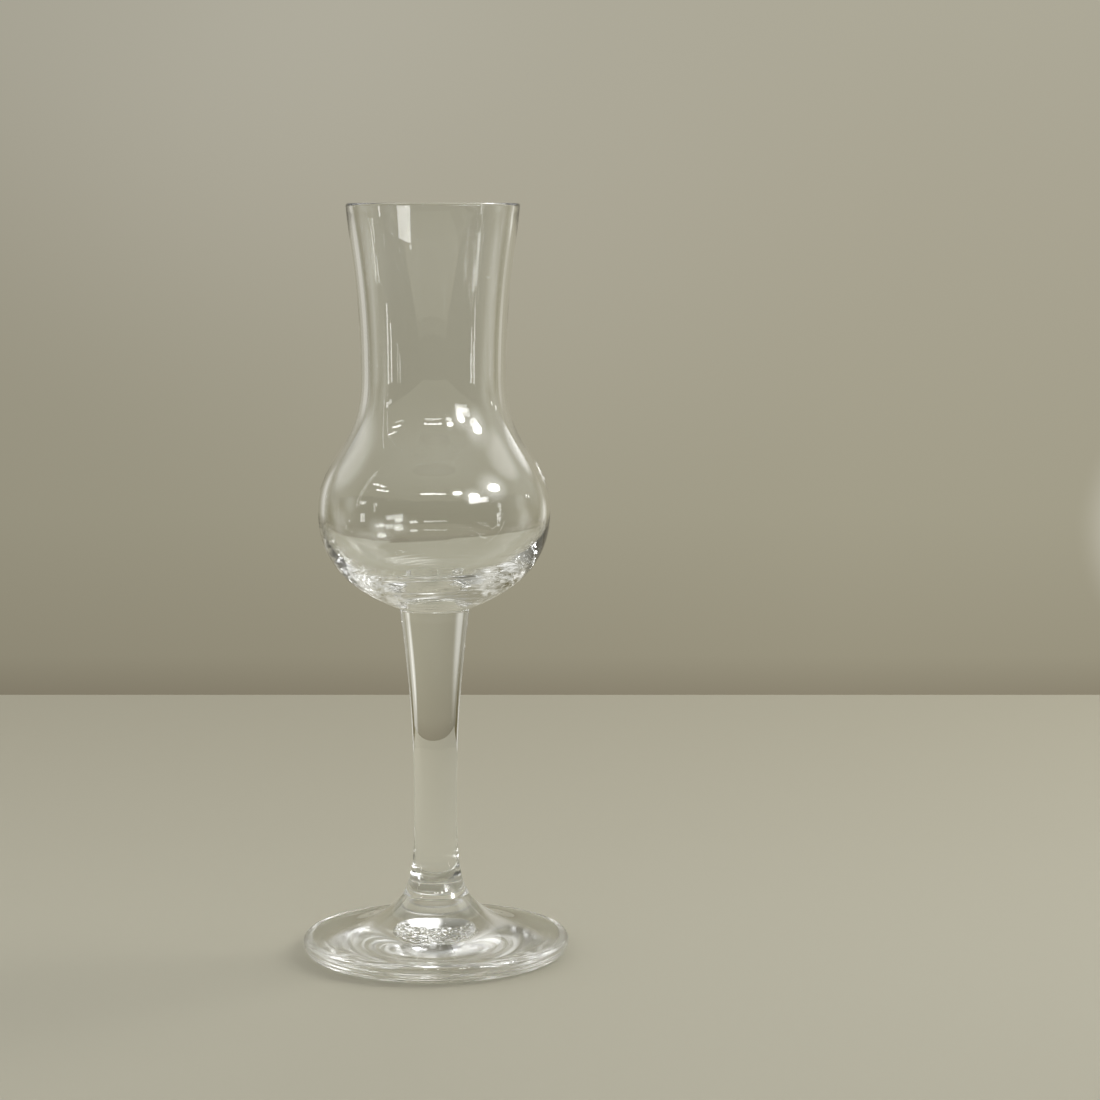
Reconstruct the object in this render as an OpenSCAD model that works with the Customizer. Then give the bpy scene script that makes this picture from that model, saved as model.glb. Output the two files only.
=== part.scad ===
// Stemmed glass for grappa: a blown bulb with a flared chimney, fused to a solid
// stem, which is fused to a thick pressed foot. Millimetres, +Z up, with the
// origin on the table under the middle of the foot.

/* [Foot] */
// Outside diameter of the foot
foot_d = 61.4; // [50:0.2:76]
// Height of the foot, from the table to its joint with the stem
foot_h = 13.7; // [11:0.1:20]
// Thickness of the foot at its edge
edge_t = 4.5; // [4.3:0.1:6]
// Radius that rounds the upper corner of the edge
edge_top_r = 1.3; // [0.5:0.1:1.4]
// Radius that rounds the lower corner of the edge
edge_low_r = 2.8; // [1:0.1:2.8]
// Width of the flat ring that the glass rests on
rest_w = 2.4; // [1:0.1:6]
// Height of the dish under the foot
dish_h = 0.6; // [0.4:0.1:2]
// Diameter of the round tool mark in the dish
mark_d = 16; // [8:0.2:20]
// Depth of the tool mark in its middle, from the top of the dish
mark_h = 1; // [0.6:0.1:2]
// How far the tool mark lies to the front of the middle
mark_off = 3.6; // [0:0.1:8]
// Angle at which the tool mark leans, so that it is deepest at the back
mark_angle = 8; // [0:1:12]

/* [Stem] */
// Length of the stem between its two joints
stem_h = 66.6; // [45:0.1:95]
// Diameter of the stem where it meets the bowl
stem_top_d = 16; // [13:0.2:20]
// Diameter of the stem at its thinnest place
waist_d = 9.85; // [7:0.05:11.5]
// Height of the thinnest place above the joint with the foot
waist_h = 18.8; // [12:0.2:30]
// Diameter of the stem where it meets the foot
stem_base_d = 15.2; // [12.5:0.1:18]
// Radius that rounds the stem's edge along both joints
seam_r = 0.25; // [0.1:0.05:0.6]

/* [Bowl] */
// Height of the bowl, from its joint with the stem to the rim
bowl_h = 92.2; // [80:0.5:115]
// Outside diameter of the bulb at its widest place
bulb_d = 53; // [44:0.2:64]
// Height of the widest place above the joint
bulb_h = 22.4; // [16:0.2:30]
// Outside diameter of the neck at its narrowest place
neck_d = 33.05; // [26:0.05:40]
// Height of the narrowest place above the joint
neck_h = 53.2; // [44:0.2:64]
// Outside diameter at the rim
rim_d = 39.35; // [34:0.05:48]

/* [Thickness of the bowl] */
// Glass at the rim, which is fire-polished to a full round
rim_t = 1.25; // [0.8:0.05:2]
// Wall of the neck
neck_t = 1.9; // [1:0.1:3]
// Wall of the bulb at its widest place
bulb_t = 1.4; // [0.8:0.1:3]
// Glass in the floor of the bowl, on the axis
floor_t = 4.4; // [3:0.1:8]

/* [Hidden] */

// Steps along each curve and each rounded corner
curve_steps = 24;
corner_steps = 6;
$fn = 128;

glass_tint = [0.78, 0.84, 0.82, 0.55];

foot_r = foot_d / 2;
top_r = stem_top_d / 2;
waist_r = waist_d / 2;
base_r = stem_base_d / 2;
bulb_r = bulb_d / 2;
neck_r = neck_d / 2;
rim_r = rim_d / 2;
mark_r = mark_d / 2;

// Heights above the table
seat_z = foot_h + stem_h;
waist_z = foot_h + waist_h;
bulb_z = seat_z + bulb_h;
neck_z = seat_z + neck_h;
rim_z = seat_z + bowl_h;
floor_z = seat_z + floor_t;

// Radii of the two flat faces on which the pieces are fused
seat_r = top_r - seam_r;
boss_r = base_r - seam_r;

// Points along a cubic curve from a to d, without a itself. It leaves a towards b
// and arrives at d from c, so b and c say how long each end holds its direction.
function curve(a, b, c, d) = [
    for (i = [1 : curve_steps])
        let (t = i / curve_steps, s = 1 - t)
            s * s * s * a + 3 * s * s * t * b + 3 * s * t * t * c + t * t * t * d
];

// Points along an arc, both ends included
function arc(centre, r, from, to) = [
    for (i = [0 : corner_steps])
        let (turn = from + (to - from) * i / corner_steps)
            centre + r * [cos(turn), sin(turn)]
];

// The chimney leaves the neck upright and opens to the rim at an angle.
// Each hold, here and below, is a share of the height or width of its own curve.
function chimney(narrow_r, lip_r, lip_z, angle, neck_hold, rim_hold) =
    let (span = lip_z - neck_z, reach = rim_hold * span)
        curve([narrow_r, neck_z],
              [narrow_r, neck_z + neck_hold * span],
              [lip_r - reach * tan(angle), lip_z - reach],
              [lip_r, lip_z]);

// Outside, the chimney straightens below the rim
outer_angle = 4.8;
outer_neck_hold = 0.55;
outer_rim_hold = 0.25;
function outer_chimney(lip_z) =
    chimney(neck_r, rim_r, lip_z, outer_angle, outer_neck_hold, outer_rim_hold);

// Inside, it opens more and more, so that the wall thins most just below the rim
inner_angle = 11.2;
inner_hold = 0.33;
function inner_chimney(lip_z) =
    chimney(neck_r - neck_t, rim_r - rim_t, lip_z, inner_angle, inner_hold, inner_hold);

// The shoulder swings from the upright side of the bulb to the upright neck
bulb_hold = 0.43;
throat_hold = 0.57;
function shoulder(wide_r, narrow_r) =
    let (span = neck_z - bulb_z)
        curve([wide_r, bulb_z],
              [wide_r, bulb_z + bulb_hold * span],
              [narrow_r, neck_z - throat_hold * span],
              [narrow_r, neck_z]);

// The belly leaves the seat at an angle to the level and turns upright at the bulb
belly_angle = 20.5;
seat_hold = 0.42;
side_hold = 0.62;
function belly() =
    let (reach = seat_hold * (bulb_r - seat_r))
        curve([seat_r, seat_z],
              [seat_r + reach, seat_z + reach * tan(belly_angle)],
              [bulb_r, bulb_z - side_hold * bulb_h],
              [bulb_r, bulb_z]);

// The inside of the belly rounds off level on the axis
inside_hold = 0.6;
floor_hold = 0.6;
function inner_belly() =
    let (wide_r = bulb_r - bulb_t, depth = bulb_z - floor_z)
        curve([wide_r, bulb_z],
              [wide_r, bulb_z - inside_hold * depth],
              [floor_hold * wide_r, floor_z],
              [0, floor_z]);

function backward(points) = [for (i = [len(points) - 1 : -1 : 0]) points[i]];

// Drops a point that the next stretch of the outline repeats
function without_last(points) = [for (i = [0 : len(points) - 2]) points[i]];

// Blown bowl: outside from the seat to the rim, over the rim, and down the inside
module bowl() {
    lip_r = rim_t / 2;
    lip_z = rim_z - lip_r;
    outside = concat(
        [[0, seat_z], [seat_r, seat_z]],
        belly(),
        shoulder(bulb_r, neck_r),
        without_last(outer_chimney(lip_z))
    );
    lip = arc([rim_r - lip_r, lip_z], lip_r, 0, 180);
    inside = concat(
        backward(without_last(inner_chimney(lip_z))),
        backward(shoulder(bulb_r - bulb_t, neck_r - neck_t)),
        [[bulb_r - bulb_t, bulb_z]],
        inner_belly()
    );
    color(glass_tint)
        rotate_extrude()
            polygon(concat(outside, lip, inside));
}

// Solid stem: it tapers from the bowl to the waist and flares again to the foot
module stem() {
    taper_angle = 7.2;
    flare_end = 31;
    taper_hold = 0.33;
    waist_top_hold = 0.46;
    waist_low_hold = 0.6;
    flare_hold = 0.16;
    taper_span = seat_z - waist_z;
    taper_reach = taper_hold * taper_span;
    upper_centre = [seat_r, seat_z - seam_r];
    lower_centre = [boss_r, foot_h + seam_r];
    taper_start = upper_centre + seam_r * [cos(taper_angle), -sin(taper_angle)];
    flare_stop = lower_centre + seam_r * [cos(flare_end), sin(flare_end)];
    flare_reach = flare_hold * waist_h;
    taper = curve(taper_start,
                  taper_start - taper_reach * [tan(taper_angle), 1],
                  [waist_r, waist_z + waist_top_hold * taper_span],
                  [waist_r, waist_z]);
    flare = curve([waist_r, waist_z],
                  [waist_r, waist_z - waist_low_hold * waist_h],
                  flare_stop + flare_reach * [-tan(flare_end), 1],
                  flare_stop);
    upper_edge = arc(upper_centre, seam_r, 90, -taper_angle);
    lower_edge = arc(lower_centre, seam_r, flare_end, -90);
    color(glass_tint)
        rotate_extrude()
            polygon(concat(
                [[0, seat_z]],
                upper_edge,
                taper,
                without_last(flare),
                lower_edge,
                [[0, foot_h]]
            ));
}

// Pressed foot: a thick plate with a boss for the stem, hollowed a little underneath
module foot() {
    boss_angle = 50;
    plate_angle = 3;
    boss_hold = 0.5;
    plate_hold = 0.6;
    // An upright band is always left between the two rounded corners of the edge
    edge_flat = 0.2;
    low_r = min(edge_low_r, edge_t - edge_top_r - edge_flat);
    ring_r = foot_r - low_r - rest_w;
    seam_centre = [boss_r, foot_h - seam_r];
    top_centre = [foot_r - edge_top_r, edge_t - edge_top_r];
    low_centre = [foot_r - low_r, low_r];
    sweep_start = seam_centre + seam_r * [cos(boss_angle), sin(boss_angle)];
    sweep_stop = top_centre + edge_top_r * [sin(plate_angle), cos(plate_angle)];
    boss_reach = boss_hold * (sweep_start[1] - sweep_stop[1]);
    plate_reach = plate_hold * (sweep_stop[0] - sweep_start[0]);
    sweep = curve(sweep_start,
                  sweep_start + boss_reach * [cos(boss_angle), -sin(boss_angle)],
                  sweep_stop + plate_reach * [-1, tan(plate_angle)],
                  sweep_stop);
    dish = [
        for (i = [0 : curve_steps])
            let (u = i / curve_steps)
                [u * ring_r, dish_h * cos(90 * u)]
    ];
    color(glass_tint)
        difference() {
            rotate_extrude()
                polygon(concat(
                    dish,
                    arc(low_centre, low_r, -90, 0),
                    without_last(arc(top_centre, edge_top_r, 0, 90 - plate_angle)),
                    backward(sweep),
                    arc(seam_centre, seam_r, boss_angle, 90),
                    [[0, foot_h]]
                ));
            translate([0, -mark_off, dish_h + mark_h])
                rotate([mark_angle, 0, 0])
                    translate([0, 0, -mark_d])
                        cylinder(h = mark_d, r = mark_r);
        }
}

bowl();
stem();
foot();
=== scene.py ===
import math

import bpy
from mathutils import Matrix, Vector, noise


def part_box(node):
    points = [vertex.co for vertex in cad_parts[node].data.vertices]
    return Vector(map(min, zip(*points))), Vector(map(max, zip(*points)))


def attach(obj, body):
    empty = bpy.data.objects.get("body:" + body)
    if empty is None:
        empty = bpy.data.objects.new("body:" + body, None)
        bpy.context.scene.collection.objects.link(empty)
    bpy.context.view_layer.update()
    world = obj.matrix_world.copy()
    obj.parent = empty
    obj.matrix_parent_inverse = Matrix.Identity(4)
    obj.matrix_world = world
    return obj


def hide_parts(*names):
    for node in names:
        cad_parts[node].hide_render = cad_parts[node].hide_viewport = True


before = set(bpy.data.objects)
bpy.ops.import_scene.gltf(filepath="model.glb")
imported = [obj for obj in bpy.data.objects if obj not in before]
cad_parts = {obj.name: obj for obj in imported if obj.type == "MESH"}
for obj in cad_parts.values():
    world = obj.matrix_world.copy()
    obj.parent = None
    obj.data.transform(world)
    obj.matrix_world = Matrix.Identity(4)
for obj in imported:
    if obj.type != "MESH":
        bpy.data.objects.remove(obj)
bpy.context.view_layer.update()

# Camera. It stands a little above the rim and looks down on the glass through a long
# lens, with the glass left of the middle of the picture.
camera_place = (0.0264, -0.667, 0.172)
camera_down = math.radians(6.69)
sensor_wide = 36
lens_length = 96.2
bpy.ops.object.camera_add(location=camera_place, rotation=(math.pi / 2 - camera_down, 0, 0))
camera = bpy.context.object
camera.data.sensor_width = sensor_wide
camera.data.lens = lens_length
bpy.context.scene.camera = camera

# Bowl. The real one is clear soda-lime glass, blown into a turning mould and cut off
# at the rim, which a flame then melts to a full round. Its floor is left thick where
# the stem is fused to it.
MM = 0.001
bowl_low, bowl_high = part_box("bowl")
seat_z = bowl_low.z / MM
rim_z = bowl_high.z / MM
bulb_r = bowl_high.x / MM
seat_r = 7.75
bulb_h = 22.4
neck_h = 53.2
neck_r = 16.525
rim_r = 19.675
rim_wall = 1.25
neck_wall = 1.9
bulb_wall = 1.4
floor_wall = 4.4
bulb_z = seat_z + bulb_h
neck_z = seat_z + neck_h
floor_z = seat_z + floor_wall
# Angles in degrees at the ends of the wall's curves. Each hold is the share of a curve's
# own height or width over which that end keeps its direction.
belly_angle = 20.5
seat_hold = 0.42
side_hold = 0.62
bulb_hold = 0.43
throat_hold = 0.57
outer_angle = 4.8
outer_neck_hold = 0.55
outer_rim_hold = 0.25
inner_angle = 11.2
inner_hold = 0.33
inside_hold = 0.6
floor_hold = 0.6
# Points of a spun mesh that lie this near each other are merged, and only edges that turn
# by more than this angle stay sharp.
merge_within = 0.002
crease_angle = 15


def straight(start, stop):
    """A straight stretch of an outline, as a cubic with its handles on the line."""
    start, stop = Vector(start), Vector(stop)
    return start, start.lerp(stop, 1 / 3), start.lerp(stop, 2 / 3), stop


def rounded(centre, radius, first, last):
    """A stretch of an outline round an arc, given by its first and last angle in degrees."""
    first, last = math.radians(first), math.radians(last)
    reach = 4 / 3 * math.tan((last - first) / 4) * radius

    def at(turn, along):
        out = Vector((math.cos(turn), math.sin(turn)))
        return Vector(centre) + radius * out + along * Vector((-out.y, out.x))

    return at(first, 0), at(first, reach), at(last, -reach), at(last, 0)


def turned(name, stretches, steps=256, fineness=24):
    """Draws an outline as one curve, makes it a mesh and spins it round the glass's axis."""
    bpy.ops.object.select_all(action="DESELECT")
    bpy.ops.curve.primitive_bezier_curve_add(location=(0, 0, 0))
    piece = bpy.context.object
    piece.name = piece.data.name = name
    piece.data.resolution_u = fineness
    knots = piece.data.splines[0].bezier_points
    knots.add(len(stretches) - 1)
    for knot in knots:
        knot.handle_left_type = knot.handle_right_type = "FREE"
    for knot, following, stretch in zip(knots, knots[1:], stretches):
        start, leave, arrive, stop = (MM * Vector((p[0], 0, p[1])) for p in stretch)
        knot.co, knot.handle_right = start, leave
        following.handle_left, following.co = arrive, stop
    bpy.ops.object.convert(target="MESH")
    bpy.ops.object.mode_set(mode="EDIT")
    bpy.ops.mesh.select_all(action="SELECT")
    bpy.ops.mesh.spin(steps=steps, angle=2 * math.pi, center=(0, 0, 0), axis=(0, 0, 1))
    bpy.ops.mesh.select_all(action="SELECT")
    bpy.ops.mesh.remove_doubles(threshold=merge_within * MM)
    bpy.ops.mesh.normals_make_consistent(inside=False)
    bpy.ops.object.mode_set(mode="OBJECT")
    bpy.ops.object.shade_smooth_by_angle(angle=math.radians(crease_angle))
    return piece


def chimney(narrow_r, lip_r, lip_z, angle, neck_hold, rim_hold):
    """The wall leaves the neck upright and opens to the rim at an angle."""
    span = lip_z - neck_z
    reach = rim_hold * span
    return (
        (narrow_r, neck_z),
        (narrow_r, neck_z + neck_hold * span),
        (lip_r - reach * math.tan(math.radians(angle)), lip_z - reach),
        (lip_r, lip_z),
    )


def shoulder(wide_r, narrow_r):
    """The wall swings from the upright side of the bulb to the upright neck."""
    span = neck_z - bulb_z
    return (
        (wide_r, bulb_z),
        (wide_r, bulb_z + bulb_hold * span),
        (narrow_r, neck_z - throat_hold * span),
        (narrow_r, neck_z),
    )


def halved(stretch):
    """Cuts a stretch of an outline in two, for a finer mesh there."""
    a, b, c, d = (Vector(point) for point in stretch)
    ab, bc, cd = a.lerp(b, 0.5), b.lerp(c, 0.5), c.lerp(d, 0.5)
    abc, bcd = ab.lerp(bc, 0.5), bc.lerp(cd, 0.5)
    middle = abc.lerp(bcd, 0.5)
    return (a, ab, abc, middle), (middle, bcd, cd, d)


belly_reach = seat_hold * (bulb_r - seat_r)
belly = (
    (seat_r, seat_z),
    (seat_r + belly_reach, seat_z + belly_reach * math.tan(math.radians(belly_angle))),
    (bulb_r, bulb_z - side_hold * (bulb_z - seat_z)),
    (bulb_r, bulb_z),
)
inner_bulb_r = bulb_r - bulb_wall
inner_belly = (
    (inner_bulb_r, bulb_z),
    (inner_bulb_r, bulb_z - inside_hold * (bulb_z - floor_z)),
    (floor_hold * inner_bulb_r, floor_z),
    (0, floor_z),
)
lip_radius = rim_wall / 2
lip_z = rim_z - lip_radius
lip_centre = (rim_r - lip_radius, lip_z)
inner_neck_r = neck_r - neck_wall
inner_rim_r = rim_r - rim_wall
inner_chimney = chimney(inner_neck_r, inner_rim_r, lip_z, inner_angle, inner_hold, inner_hold)
bowl = turned(
    "glass_bowl",
    [
        straight((0, seat_z), (seat_r, seat_z)),
        belly,
        shoulder(bulb_r, neck_r),
        chimney(neck_r, rim_r, lip_z, outer_angle, outer_neck_hold, outer_rim_hold),
        rounded(lip_centre, lip_radius, 0, 90),
        rounded(lip_centre, lip_radius, 90, 180),
        inner_chimney[::-1],
        shoulder(inner_bulb_r, inner_neck_r)[::-1],
        *[quarter for half in halved(inner_belly) for quarter in halved(half)],
    ],
)

# The inside floor of a blown bowl is never quite true: it leans a little to one side
# and is gently uneven, in layers round the axis that the turning left, which breaks up
# what is seen through the thick glass there.
floor_lean = 0.04
floor_uneven = 0.03
floor_grain = 2.5
layer_width = 0.8
layer_height = 0.11
# How much a layer changes on its way round, and how many layers fade out at the axis
layer_turn = 0.7
calm_layers = 3


def roughened(piece, height, grain, weights):
    """Makes the glass of a piece uneven, by a weight from 0 to 1 for each vertex."""
    group = piece.vertex_groups.new(name="uneven")
    for index, weight in enumerate(weights):
        if weight > 0:
            group.add([index], weight, "REPLACE")
    lumps = bpy.data.textures.new(piece.name + "_lumps", "CLOUDS")
    lumps.noise_scale = grain * MM
    lumps.noise_depth = 2
    uneven = piece.modifiers.new("uneven", "DISPLACE")
    uneven.texture = lumps
    uneven.texture_coords = "LOCAL"
    uneven.vertex_group = group.name
    uneven.strength = height * MM
    bpy.context.view_layer.objects.active = piece
    bpy.ops.object.modifier_apply(modifier=uneven.name)
    piece.vertex_groups.clear()


def floor_depth(vertex):
    """How far a vertex lies down the inside of the bulb: 0 at its widest, 1 on the floor."""
    depth = (bulb_z - vertex.co.z / MM) / (bulb_z - floor_z)
    return min(max(depth, 0), 1) if vertex.normal.z > 0 else 0


depths = [floor_depth(vertex) for vertex in bowl.data.vertices]
for vertex, depth in zip(bowl.data.vertices, depths):
    if depth > 0:
        radius = vertex.co.xy.length / MM
        around = layer_turn * vertex.co.xy.normalized()
        layer = noise.noise((around.x, around.y, radius / layer_width))
        middle = min(radius / layer_width / calm_layers, 1)
        vertex.co.z += layer_height * layer * middle * depth**2 * MM
    vertex.co.z += floor_lean * vertex.co.x * depth**2
roughened(bowl, floor_uneven, floor_grain, [depth**3 for depth in depths])


def linear(hex_colour):
    """An sRGB hex colour as the linear colour that a shader takes."""
    levels = [int(hex_colour[i : i + 2], 16) / 255 for i in (1, 3, 5)]
    return [v / 12.92 if v <= 0.04045 else ((v + 0.055) / 1.055) ** 2.4 for v in levels] + [1]


def add(tree, kind, inputs=None, **settings):
    """Adds a node with its settings, its values and its links."""
    node = tree.nodes.new(kind)
    for name, value in settings.items():
        setattr(node, name, value)
    for socket, value in (inputs or {}).items():
        if isinstance(value, bpy.types.NodeSocket):
            tree.links.new(value, node.inputs[socket])
        else:
            node.inputs[socket].default_value = value
    return node


def new_material(name):
    """An empty material and its node tree."""
    material = bpy.data.materials.new(name)
    material.use_nodes = True
    material.node_tree.nodes.clear()
    return material, material.node_tree


GLASS_TINT = "#FDFEFD"
GLASS_IOR = 1.52


def clear_glass(tree, relief, height):
    """Polished clear glass with a faint relief on it, whose height is in millimetres."""
    uneven = add(
        tree,
        "ShaderNodeBump",
        {"Height": relief.outputs["Fac"], "Strength": 1, "Distance": height * MM},
    )
    shader = add(
        tree,
        "ShaderNodeBsdfPrincipled",
        {
            "Base Color": linear(GLASS_TINT),
            "Roughness": 0.0,
            "IOR": GLASS_IOR,
            "Transmission Weight": 1,
            "Normal": uneven.outputs["Normal"],
        },
    )
    add(tree, "ShaderNodeOutputMaterial", {"Surface": shader.outputs[0]})


# Blown glass: nearly colourless, with long soft waves that the mould and the breath
# leave in the wall, so straight reflections bend a little.
wave_length = 24
wave_height = 0.02
blown_glass, tree = new_material("clear soda-lime glass, blown")
place = add(tree, "ShaderNodeTexCoord").outputs["Object"]
waves = add(
    tree,
    "ShaderNodeTexNoise",
    {"Vector": place, "Scale": 1 / (wave_length * MM), "Detail": 1, "Roughness": 0.3},
)
clear_glass(tree, waves, wave_height)

# Fused joint: where two pieces are melted together the eye sees no face at all.
fused_joint, tree = new_material("fused joint, clear through")
shader = add(tree, "ShaderNodeBsdfTransparent")
add(tree, "ShaderNodeOutputMaterial", {"Surface": shader.outputs[0]})
same_level = 0.001


def finish_glass(piece, material, node, joints):
    """Gives a piece its glass, clears its fused faces and ties it to the frame."""
    piece.data.materials.append(material)
    piece.data.materials.append(fused_joint)
    for face in piece.data.polygons:
        level = face.center.z / MM
        radius = face.center.xy.length / MM
        if any(abs(level - z) < same_level and radius < r for z, r in joints):
            face.material_index = 1
    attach(piece, "root")
    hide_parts(node)


finish_glass(bowl, blown_glass, "bowl", [(seat_z, seat_r)])

# Stem. The real one is a solid rod of the same glass, drawn out while it is soft:
# thick under the bowl, thin in the middle, and flared where it is fused to the foot.
foot_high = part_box("foot")[1]
foot_top = foot_high.z / MM
seam_r = 0.25
boss_r = 7.35
waist_r = 4.925
waist_h = 18.8
taper_angle = 7.2
taper_hold = 0.33
waist_top_hold = 0.46
waist_low_hold = 0.6
flare_angle = 31
flare_hold = 0.16
waist_z = foot_top + waist_h
taper_span = seat_z - waist_z
flare_span = waist_z - foot_top
taper_reach = taper_hold * taper_span
flare_reach = flare_hold * flare_span
upper_seam = (seat_r, seat_z - seam_r)
lower_seam = (boss_r, foot_top + seam_r)
upper_edge = rounded(upper_seam, seam_r, 90, -taper_angle)
lower_edge = rounded(lower_seam, seam_r, flare_angle, -90)
taper_start = upper_edge[-1]
flare_stop = lower_edge[0]
taper_lean = Vector((-math.tan(math.radians(taper_angle)), -1))
flare_lean = Vector((-math.tan(math.radians(flare_angle)), 1))
stem = turned(
    "glass_stem",
    [
        straight((0, seat_z), upper_edge[0]),
        upper_edge,
        (
            taper_start,
            taper_start + taper_reach * taper_lean,
            (waist_r, waist_z + waist_top_hold * taper_span),
            (waist_r, waist_z),
        ),
        (
            (waist_r, waist_z),
            (waist_r, waist_z - waist_low_hold * flare_span),
            flare_stop + flare_reach * flare_lean,
            flare_stop,
        ),
        lower_edge,
        straight(lower_edge[-1], (0, foot_top)),
    ],
)

# Drawn glass: as clear, with faint cords along its length that drawing pulls out. They are
# made coarser than real ones, so that they show.
cord_width = 5
cord_length = 60
cord_height = 0.02
drawn_glass, tree = new_material("clear soda-lime glass, drawn")
place = add(tree, "ShaderNodeTexCoord").outputs["Object"]
along = add(
    tree,
    "ShaderNodeMapping",
    {"Vector": place, "Scale": (1, 1, cord_width / cord_length)},
)
cords = add(
    tree,
    "ShaderNodeTexNoise",
    {"Vector": along.outputs[0], "Scale": 1 / (cord_width * MM), "Detail": 2},
)
clear_glass(tree, cords, cord_height)
finish_glass(stem, drawn_glass, "stem", [(seat_z, seat_r), (foot_top, boss_r)])

# Foot. The real one is a thick disc, pressed from a gob of the same glass: it has a
# boss for the stem, a rounded edge, a flat ring to rest on, and a dished underside
# with a rough round mark where the cold tool touched the glass.
foot_r = foot_high.x / MM
edge_t = 4.5
edge_top_r = 1.3
edge_low_r = 2.8
rest_w = 2.4
dish_h = 0.6
boss_angle = 50
boss_hold = 0.5
plate_angle = 3
plate_hold = 0.6
ring_r = foot_r - edge_low_r - rest_w
# Radii that part the dish's curve, so that its mesh is fine enough for the mark
dish_stations = (0, 6, 12, 18, ring_r)
boss_seam = (boss_r, foot_top - seam_r)
edge_top = (foot_r - edge_top_r, edge_t - edge_top_r)
edge_low = (foot_r - edge_low_r, edge_low_r)
top_corner = rounded(edge_top, edge_top_r, 0, 90 - plate_angle)
boss_edge = rounded(boss_seam, seam_r, boss_angle, 90)
sweep_start, sweep_stop = boss_edge[0], top_corner[-1]
boss_reach = boss_hold * (sweep_start.y - sweep_stop.y)
plate_reach = plate_hold * (sweep_stop.x - sweep_start.x)
boss_turn = math.radians(boss_angle)
boss_lean = Vector((math.cos(boss_turn), -math.sin(boss_turn)))
plate_lean = Vector((-1, math.tan(math.radians(plate_angle))))


def dish(first, last):
    """A stretch of the dished underside between two radii."""
    reach = (last - first) / 3
    turn = math.pi / 2 / ring_r
    start = Vector((first, dish_h * math.cos(turn * first)))
    stop = Vector((last, dish_h * math.cos(turn * last)))
    leave = start + reach * Vector((1, -turn * dish_h * math.sin(turn * first)))
    arrive = stop - reach * Vector((1, -turn * dish_h * math.sin(turn * last)))
    return start, leave, arrive, stop


foot = turned(
    "glass_foot",
    [
        *[dish(first, last) for first, last in zip(dish_stations, dish_stations[1:])],
        straight((ring_r, 0), (foot_r - edge_low_r, 0)),
        rounded(edge_low, edge_low_r, -90, 0),
        straight((foot_r, edge_low_r), (foot_r, edge_t - edge_top_r)),
        top_corner,
        (
            sweep_stop,
            sweep_stop + plate_reach * plate_lean,
            sweep_start + boss_reach * boss_lean,
            sweep_start,
        ),
        boss_edge,
        straight(boss_edge[-1], (0, foot_top)),
    ],
)

# The cold tool left a round mark off the middle of the underside. It leans, so that it is
# deepest at the back, where it is smooth, and its front half tore rough as the tool came
# off. Round it the soft glass chilled in rings of ripples.
mark_r = 8
mark_h = 1
mark_off = 3.6
mark_angle = 8
smooth_wide = 5.2
smooth_long = 3.4
smooth_back = 1.6
mark_uneven = 0.7
mark_grain = 1.1
# The torn glass sets in within a third of the smooth patch's size and fades at the rim
tear_rise = 3
mark_fade = 1
ripple_pitch = 1.7
ripple_reach = 8
ripple_h = 0.0025
dish_slack = 0.05
underside_top = dish_h + dish_slack
mark_lean = math.tan(math.radians(mark_angle))


def from_mark(place):
    """How far a place on the underside lies from the middle of the mark; None elsewhere."""
    if place.z / MM > underside_top:
        return None
    return (place.xy / MM - Vector((0, -mark_off))).length


in_mark = []
for vertex in foot.data.vertices:
    away = from_mark(vertex.co)
    inside = away is not None and away < mark_r
    smooth = Vector((vertex.co.x / smooth_wide, vertex.co.y / smooth_long)) / MM
    smooth.y -= smooth_back / smooth_long
    torn = min(max(tear_rise * (smooth.length - 1), 0), 1)
    in_mark.append(min((mark_r - away) / mark_fade, 1) * torn if inside else 0)
    if inside:
        level = (dish_h + mark_h) * MM + mark_lean * (vertex.co.y + mark_off * MM)
        vertex.co.z = max(vertex.co.z, level)
    elif away is not None and away < mark_r + ripple_reach:
        along = away - mark_r
        fade = 1 - along / ripple_reach
        vertex.co.z += ripple_h * fade * math.sin(2 * math.pi * along / ripple_pitch) * MM
roughened(foot, mark_uneven, mark_grain, in_mark)

# Pressed glass: as clear, and faintly uneven where the soft glass chilled in the mould.
chill_size = 8
chill_height = 0.01
pressed_glass, tree = new_material("clear soda-lime glass, pressed")
place = add(tree, "ShaderNodeTexCoord").outputs["Object"]
chill = add(
    tree,
    "ShaderNodeTexNoise",
    {"Vector": place, "Scale": 1 / (chill_size * MM), "Detail": 2},
)
clear_glass(tree, chill, chill_height)
finish_glass(foot, pressed_glass, "foot", [(foot_top, boss_r)])

# Worn glass: years of washing and wiping leave the dished underside faintly matt, in
# patches, so what it mirrors is blurred.
scuff_size = 3
least_scuffed = 0.05
most_scuffed = 0.12
worn_glass, tree = new_material("clear soda-lime glass, worn matt")
place = add(tree, "ShaderNodeTexCoord").outputs["Object"]
scuffs = add(
    tree,
    "ShaderNodeTexNoise",
    {"Vector": place, "Scale": 1 / (scuff_size * MM), "Detail": 3},
)
worn = add(
    tree,
    "ShaderNodeMapRange",
    {"Value": scuffs.outputs["Fac"], "To Min": least_scuffed, "To Max": most_scuffed},
)
shader = add(
    tree,
    "ShaderNodeBsdfPrincipled",
    {
        "Base Color": linear(GLASS_TINT),
        "Roughness": worn.outputs["Result"],
        "IOR": GLASS_IOR,
        "Transmission Weight": 1,
    },
)
add(tree, "ShaderNodeOutputMaterial", {"Surface": shader.outputs[0]})
foot.data.materials.append(worn_glass)
for face in foot.data.polygons:
    level = face.center.z / MM
    radius = face.center.xy.length / MM
    if face.normal.z < 0 and level < underside_top and radius < ring_r:
        face.material_index = 2

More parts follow.
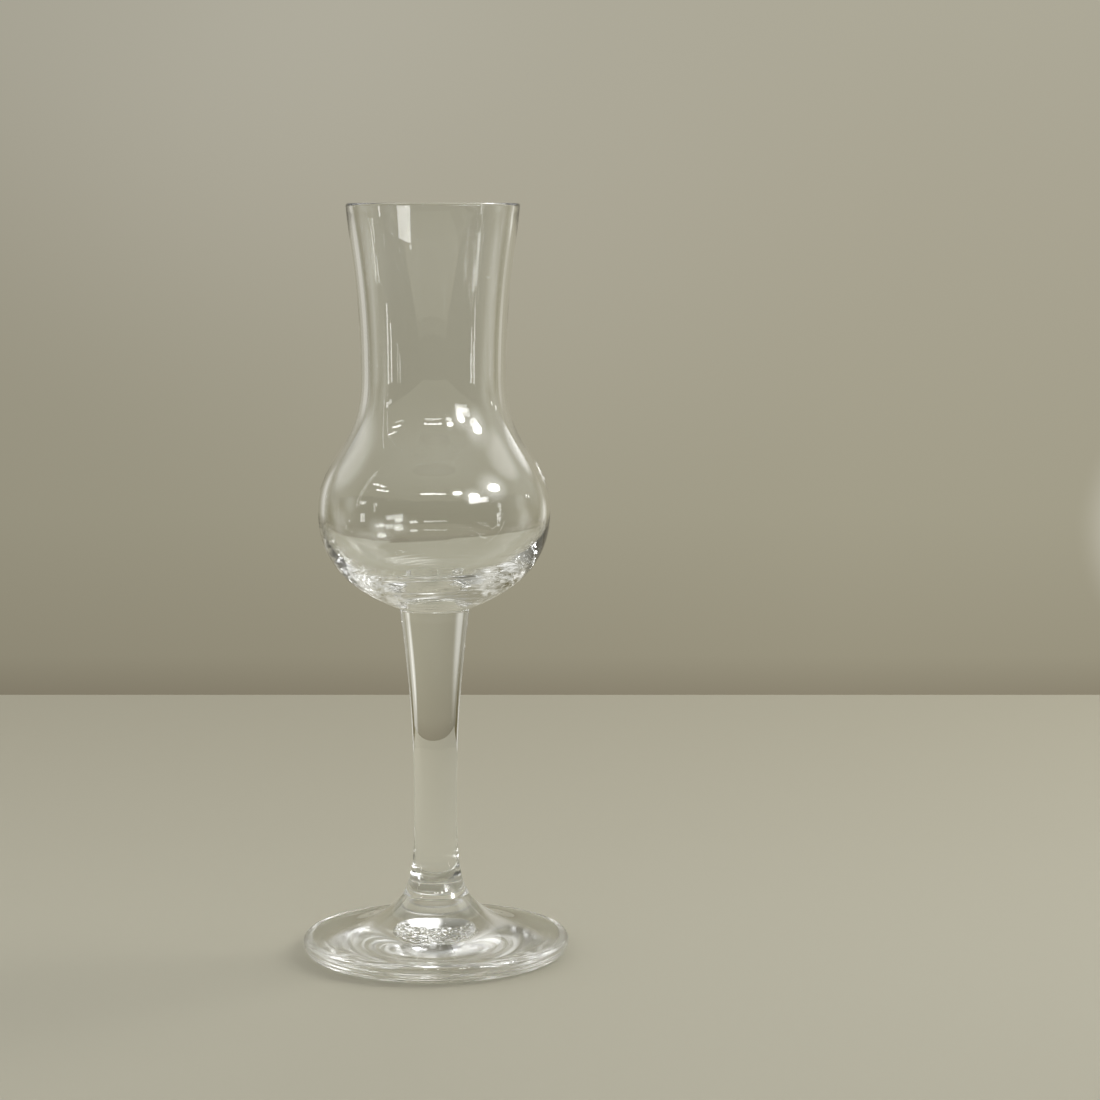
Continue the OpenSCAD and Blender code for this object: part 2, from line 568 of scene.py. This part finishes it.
# Floor. A plain pale board with matt paint, with painted shade that darkens it towards its
# back edge, near the wall, which makes the level line that is seen behind the glass.
floor_wide = 0.72
floor_front = -0.9
floor_back = 0.36
floor_gap = 0.05 * MM
fade_from = -0.05
near_paint = "#B7B3A0"
# Painted shade: the paint at the back edge is darker, standing in for the wall's shade on the
# floor.
shaded_far_paint = "#ADA894"
bpy.ops.object.select_all(action="DESELECT")
middle = (0, (floor_front + floor_back) / 2, -floor_gap)
bpy.ops.mesh.primitive_plane_add(size=1, location=middle)
floor = bpy.context.object
floor.name = "floor"
floor.scale = (floor_wide, floor_back - floor_front, 1)
bpy.ops.object.transform_apply(location=True, rotation=True, scale=True)
paint, tree = new_material("matt paint, rolled")
place = add(tree, "ShaderNodeTexCoord").outputs["Object"]
parts = add(tree, "ShaderNodeSeparateXYZ", {"Vector": place})
depth = add(
    tree,
    "ShaderNodeMapRange",
    {"Value": parts.outputs["Y"], "From Min": fade_from, "From Max": floor_back},
    interpolation_type="SMOOTHSTEP",
)
colour = add(
    tree,
    "ShaderNodeMix",
    {"Factor": depth.outputs["Result"], 6: linear(near_paint), 7: linear(shaded_far_paint)},
    data_type="RGBA",
)
shader = add(
    tree,
    "ShaderNodeBsdfPrincipled",
    {"Base Color": colour.outputs[2], "Roughness": 0.7, "Specular IOR Level": 0.2},
)
add(tree, "ShaderNodeOutputMaterial", {"Surface": shader.outputs[0]})
floor.data.materials.append(paint)

# Wall. A plain painted wall stands right behind the floor. Its glow holds painted light and
# shade: lighter to the right, darker to the left and at its foot, and it sheds none on the
# floor.
wall_wide = 0.9
wall_high = 0.25
bpy.ops.object.select_all(action="DESELECT")
middle = (0, floor_back, wall_high / 2 - floor_gap)
bpy.ops.mesh.primitive_plane_add(size=1, location=middle, rotation=(math.pi / 2, 0, 0))
wall = bpy.context.object
wall.name = "wall"
wall.scale = (wall_wide, wall_high, 1)
bpy.ops.object.transform_apply(location=True, rotation=True, scale=True)
plaster, tree = new_material("plaster wall, painted light and shade")
place = add(tree, "ShaderNodeTexCoord").outputs["Object"]
parts = add(tree, "ShaderNodeSeparateXYZ", {"Vector": place})


def ramp(tree, value, stops):
    """Colours along a value, from (value, colour) stops."""
    low, high = stops[0][0], stops[-1][0]
    share = add(tree, "ShaderNodeMapRange", {"Value": value, "From Min": low, "From Max": high})
    node = add(tree, "ShaderNodeValToRGB", {"Fac": share.outputs["Result"]})
    elements = node.color_ramp.elements
    while len(elements) < len(stops):
        elements.new(0.5)
    for element, (level, colour) in zip(elements, stops):
        element.position = (level - low) / (high - low)
        element.color = linear(colour)
    return node.outputs["Color"]


def scaled(tree, colour, value, low, high, least, most):
    """Makes a colour darker or lighter along a value."""
    gain = add(
        tree,
        "ShaderNodeMapRange",
        {"Value": value, "From Min": low, "From Max": high, "To Min": least, "To Max": most},
    )
    return add(
        tree,
        "ShaderNodeVectorMath",
        {0: colour, "Scale": gain.outputs["Result"]},
        operation="SCALE",
    ).outputs[0]


def with_glow(tree, colour, away, full, gone, strength):
    """Adds a soft glow, full near its middle and gone at a distance from it."""
    glow = add(
        tree,
        "ShaderNodeMapRange",
        {"Value": away, "From Min": gone, "From Max": full, "To Max": strength},
        interpolation_type="SMOOTHSTEP",
    )
    return add(
        tree,
        "ShaderNodeVectorMath",
        {0: colour, 1: glow.outputs["Result"]},
        operation="ADD",
    ).outputs[0]


# Painted shade: the glow is darker at the wall's foot, where it meets the floor, and darker
# towards the left, as if lit from the right.
picture = ramp(
    tree,
    parts.outputs["Z"],
    [
        (0.0, "#8A8370"),
        (0.014, "#97917D"),
        (0.064, "#A09B87"),
        (0.172, "#A7A290"),
        (0.25, "#ABA796"),
    ],
)
picture = scaled(
    tree, picture, parts.outputs["X"], low=-0.35, high=0.13, least=0.78, most=1.03
)
# Painted light: soft patches of light on the wall.
painted_wall_glows = [
    # along, height, full within, gone beyond, strength
    (-0.010, 0.185, 0.02, 0.17, 0.03),
    (-0.120, 0.262, 0.04, 0.17, 0.035),
    (-0.300, 0.120, 0.04, 0.13, 0.34),
    (0.310, 0.120, 0.02, 0.09, 0.15),
    (0.340, 0.000, 0.04, 0.12, 0.3),
    (0.265, 0.060, 0.02, 0.055, 0.45),
]
for along, height, full, gone, strength in painted_wall_glows:
    away = add(
        tree,
        "ShaderNodeVectorMath",
        {0: place, 1: (along, floor_back, height)},
        operation="DISTANCE",
    )
    picture = with_glow(tree, picture, away.outputs["Value"], full, gone, strength)
shader = add(tree, "ShaderNodeEmission", {"Color": picture})
add(tree, "ShaderNodeOutputMaterial", {"Surface": shader.outputs[0]})
wall.data.materials.append(plaster)
wall.visible_diffuse = wall.visible_shadow = False

# Room. The world is what the glass mirrors: a pale upper wall and a greyer ceiling behind
# it, and a dim room in front. What lights the floor is one plain soft tone, a little
# brighter under the foot, where the glass gathers light.
world = bpy.data.worlds.new("studio")
world.use_nodes = True
bpy.context.scene.world = world
tree = world.node_tree
tree.nodes.clear()
way = add(tree, "ShaderNodeTexCoord").outputs["Generated"]
parts = add(tree, "ShaderNodeSeparateXYZ", {"Vector": way})


def towards(azimuth, elevation):
    """The direction at an azimuth from the camera's side and an elevation, in degrees."""
    turn, rise = math.radians(azimuth), math.radians(elevation)
    level = math.cos(rise)
    return Vector((math.sin(turn) * level, -math.cos(turn) * level, math.sin(rise)))


behind = ramp(
    tree,
    parts.outputs["Z"],
    [
        (-0.166, "#8A8370"),
        (0.0, "#A7A290"),
        (0.18, "#C6C4BA"),
        (0.42, "#C2C1BA"),
        (0.60, "#BEBDB4"),
        (0.80, "#747164"),
        (1.0, "#747164"),
    ],
)
front = ramp(
    tree,
    parts.outputs["Z"],
    [
        (-0.15, "#3A3934"),
        (0.10, "#2A2A28"),
        (0.40, "#555552"),
        (0.75, "#A8A8A4"),
        (1.0, "#CDCDCA"),
    ],
)
side_blend = 0.3
ahead = add(
    tree,
    "ShaderNodeMapRange",
    {"Value": parts.outputs["Y"], "From Min": -side_blend, "From Max": side_blend},
    interpolation_type="SMOOTHSTEP",
)
picture = add(
    tree,
    "ShaderNodeMix",
    {"Factor": ahead.outputs["Result"], 6: front, 7: behind},
    data_type="RGBA",
).outputs[2]
picture = scaled(
    tree, picture, parts.outputs["X"], low=-0.35, high=0.1, least=0.78, most=1.02
)
glows = [
    # azimuth, elevation, full within, gone beyond, strength
    (172, 43, 4, 13, 3),
    (112, 40, 8, 18, 1.3),
    (146, 21, 4, 13, 1.2),
    (-122, 28, 8, 22, 0.8),
    (105, -8, 4, 12, 0.8),
    (-105, -8, 4, 12, 0.7),
    (124, -5, 2, 9, -0.18),
    (-124, -5, 2, 9, -0.15),
    (85, 8, 10, 40, 0.1),
    (27.5, 30.5, 2, 8, 1.5),
    (44.7, 24.5, 3, 14, 2.5),
    (72, 30, 4, 20, 3),
]
for azimuth, elevation, full, gone, strength in glows:
    facing = add(
        tree,
        "ShaderNodeVectorMath",
        {0: way, 1: towards(azimuth, elevation)},
        operation="DOT_PRODUCT",
    )
    away = add(tree, "ShaderNodeMath", {0: facing.outputs["Value"]}, operation="ARCCOSINE")
    picture = with_glow(
        tree, picture, away.outputs[0], math.radians(full), math.radians(gone), strength
    )
path = add(tree, "ShaderNodeLightPath")
direct = add(
    tree,
    "ShaderNodeMath",
    {0: path.outputs["Is Camera Ray"], 1: path.outputs["Is Glossy Ray"]},
    operation="MAXIMUM",
)
shown = add(
    tree,
    "ShaderNodeMath",
    {0: direct.outputs[0], 1: path.outputs["Is Transmission Ray"]},
    operation="MAXIMUM",
)
looked_at = add(
    tree,
    "ShaderNodeMath",
    {0: shown.outputs[0], 1: path.outputs["Diffuse Depth"]},
    operation="SUBTRACT",
    use_clamp=True,
)
soft_light = 0.75
through_glass = 1.1
on_floor = add(
    tree,
    "ShaderNodeMapRange",
    {
        "Value": path.outputs["Is Transmission Ray"],
        "To Min": soft_light,
        "To Max": through_glass,
    },
)
light = add(
    tree,
    "ShaderNodeMix",
    {"Factor": looked_at.outputs[0], 6: on_floor.outputs["Result"], 7: picture},
    data_type="RGBA",
)
background = add(tree, "ShaderNodeBackground", {"Color": light.outputs[2], "Strength": 1})
add(tree, "ShaderNodeOutputWorld", {"Surface": background.outputs[0]})

# Lamps. A soft box from the right lights the floor. The others stand round the glass, each
# at an azimuth from the camera's side and an elevation, and only show in the glass.
lamp_aim = Vector((0, 0, 0.1))
lamps = [
    # name, azimuth, elevation, distance, width, height, radiance, lights the floor
    ("key_box", 114, 36, 0.85, 0.5, 0.5, 3.3, True),
    ("tube_middle", 1, 31, 1.2, 0.5, 0.035, 18, False),
    ("tube_left", -57, 29.5, 1.2, 0.26, 0.025, 18, False),
    ("tube_far_left", -64, 34.5, 1.2, 0.26, 0.025, 18, False),
    ("spot_1", 27.5, 30.5, 1.2, 0.19, 0.1, 24, False),
    ("spot_2", 44.7, 24.5, 1.2, 0.22, 0.15, 24, False),
    ("spot_3", 72, 30, 1.2, 0.27, 0.2, 24, False),
    ("strip_left", -80, 24, 1.2, 0.02, 0.8, 4, False),
    ("strip_low_left", -73, -3, 1.2, 0.05, 0.15, 8, False),
    ("strip_low_right", 69, -3, 1.2, 0.03, 0.15, 8, False),
    ("strip_jag", -74, 11, 1.2, 0.1, 0.07, 6, False),
    ("strip_back", 112, 9.3, 1.2, 0.04, 0.05, 10, False),
    ("window", 48.5, 18.4, 1.2, 0.42, 0.14, 8, False),
]
for name, azimuth, elevation, distance, width, tall, radiance, lights_floor in lamps:
    away = towards(azimuth, elevation)
    bpy.ops.object.light_add(type="AREA", location=lamp_aim + distance * away)
    lamp = bpy.context.object
    lamp.name = name
    lamp.rotation_euler = (-away).to_track_quat("-Z", "Y").to_euler()
    oval = name.startswith("spot")
    lamp.data.shape = "ELLIPSE" if oval else "RECTANGLE"
    lamp.data.size = width
    lamp.data.size_y = tall
    area = width * tall * (math.pi / 4 if oval else 1)
    lamp.data.energy = radiance * math.pi * area
    lamp.visible_camera = False
    lamp.visible_diffuse = lights_floor
    lamp.visible_glossy = lamp.visible_transmission = not lights_floor

# Light passes many faces inside the glass before it comes out, so it may turn often.
glass_bounces = 64
joint_passes = 24
scene = bpy.context.scene
scene.view_settings.view_transform = "Standard"
scene.cycles.max_bounces = glass_bounces
scene.cycles.transmission_bounces = glass_bounces
scene.cycles.glossy_bounces = glass_bounces
scene.cycles.transparent_max_bounces = joint_passes
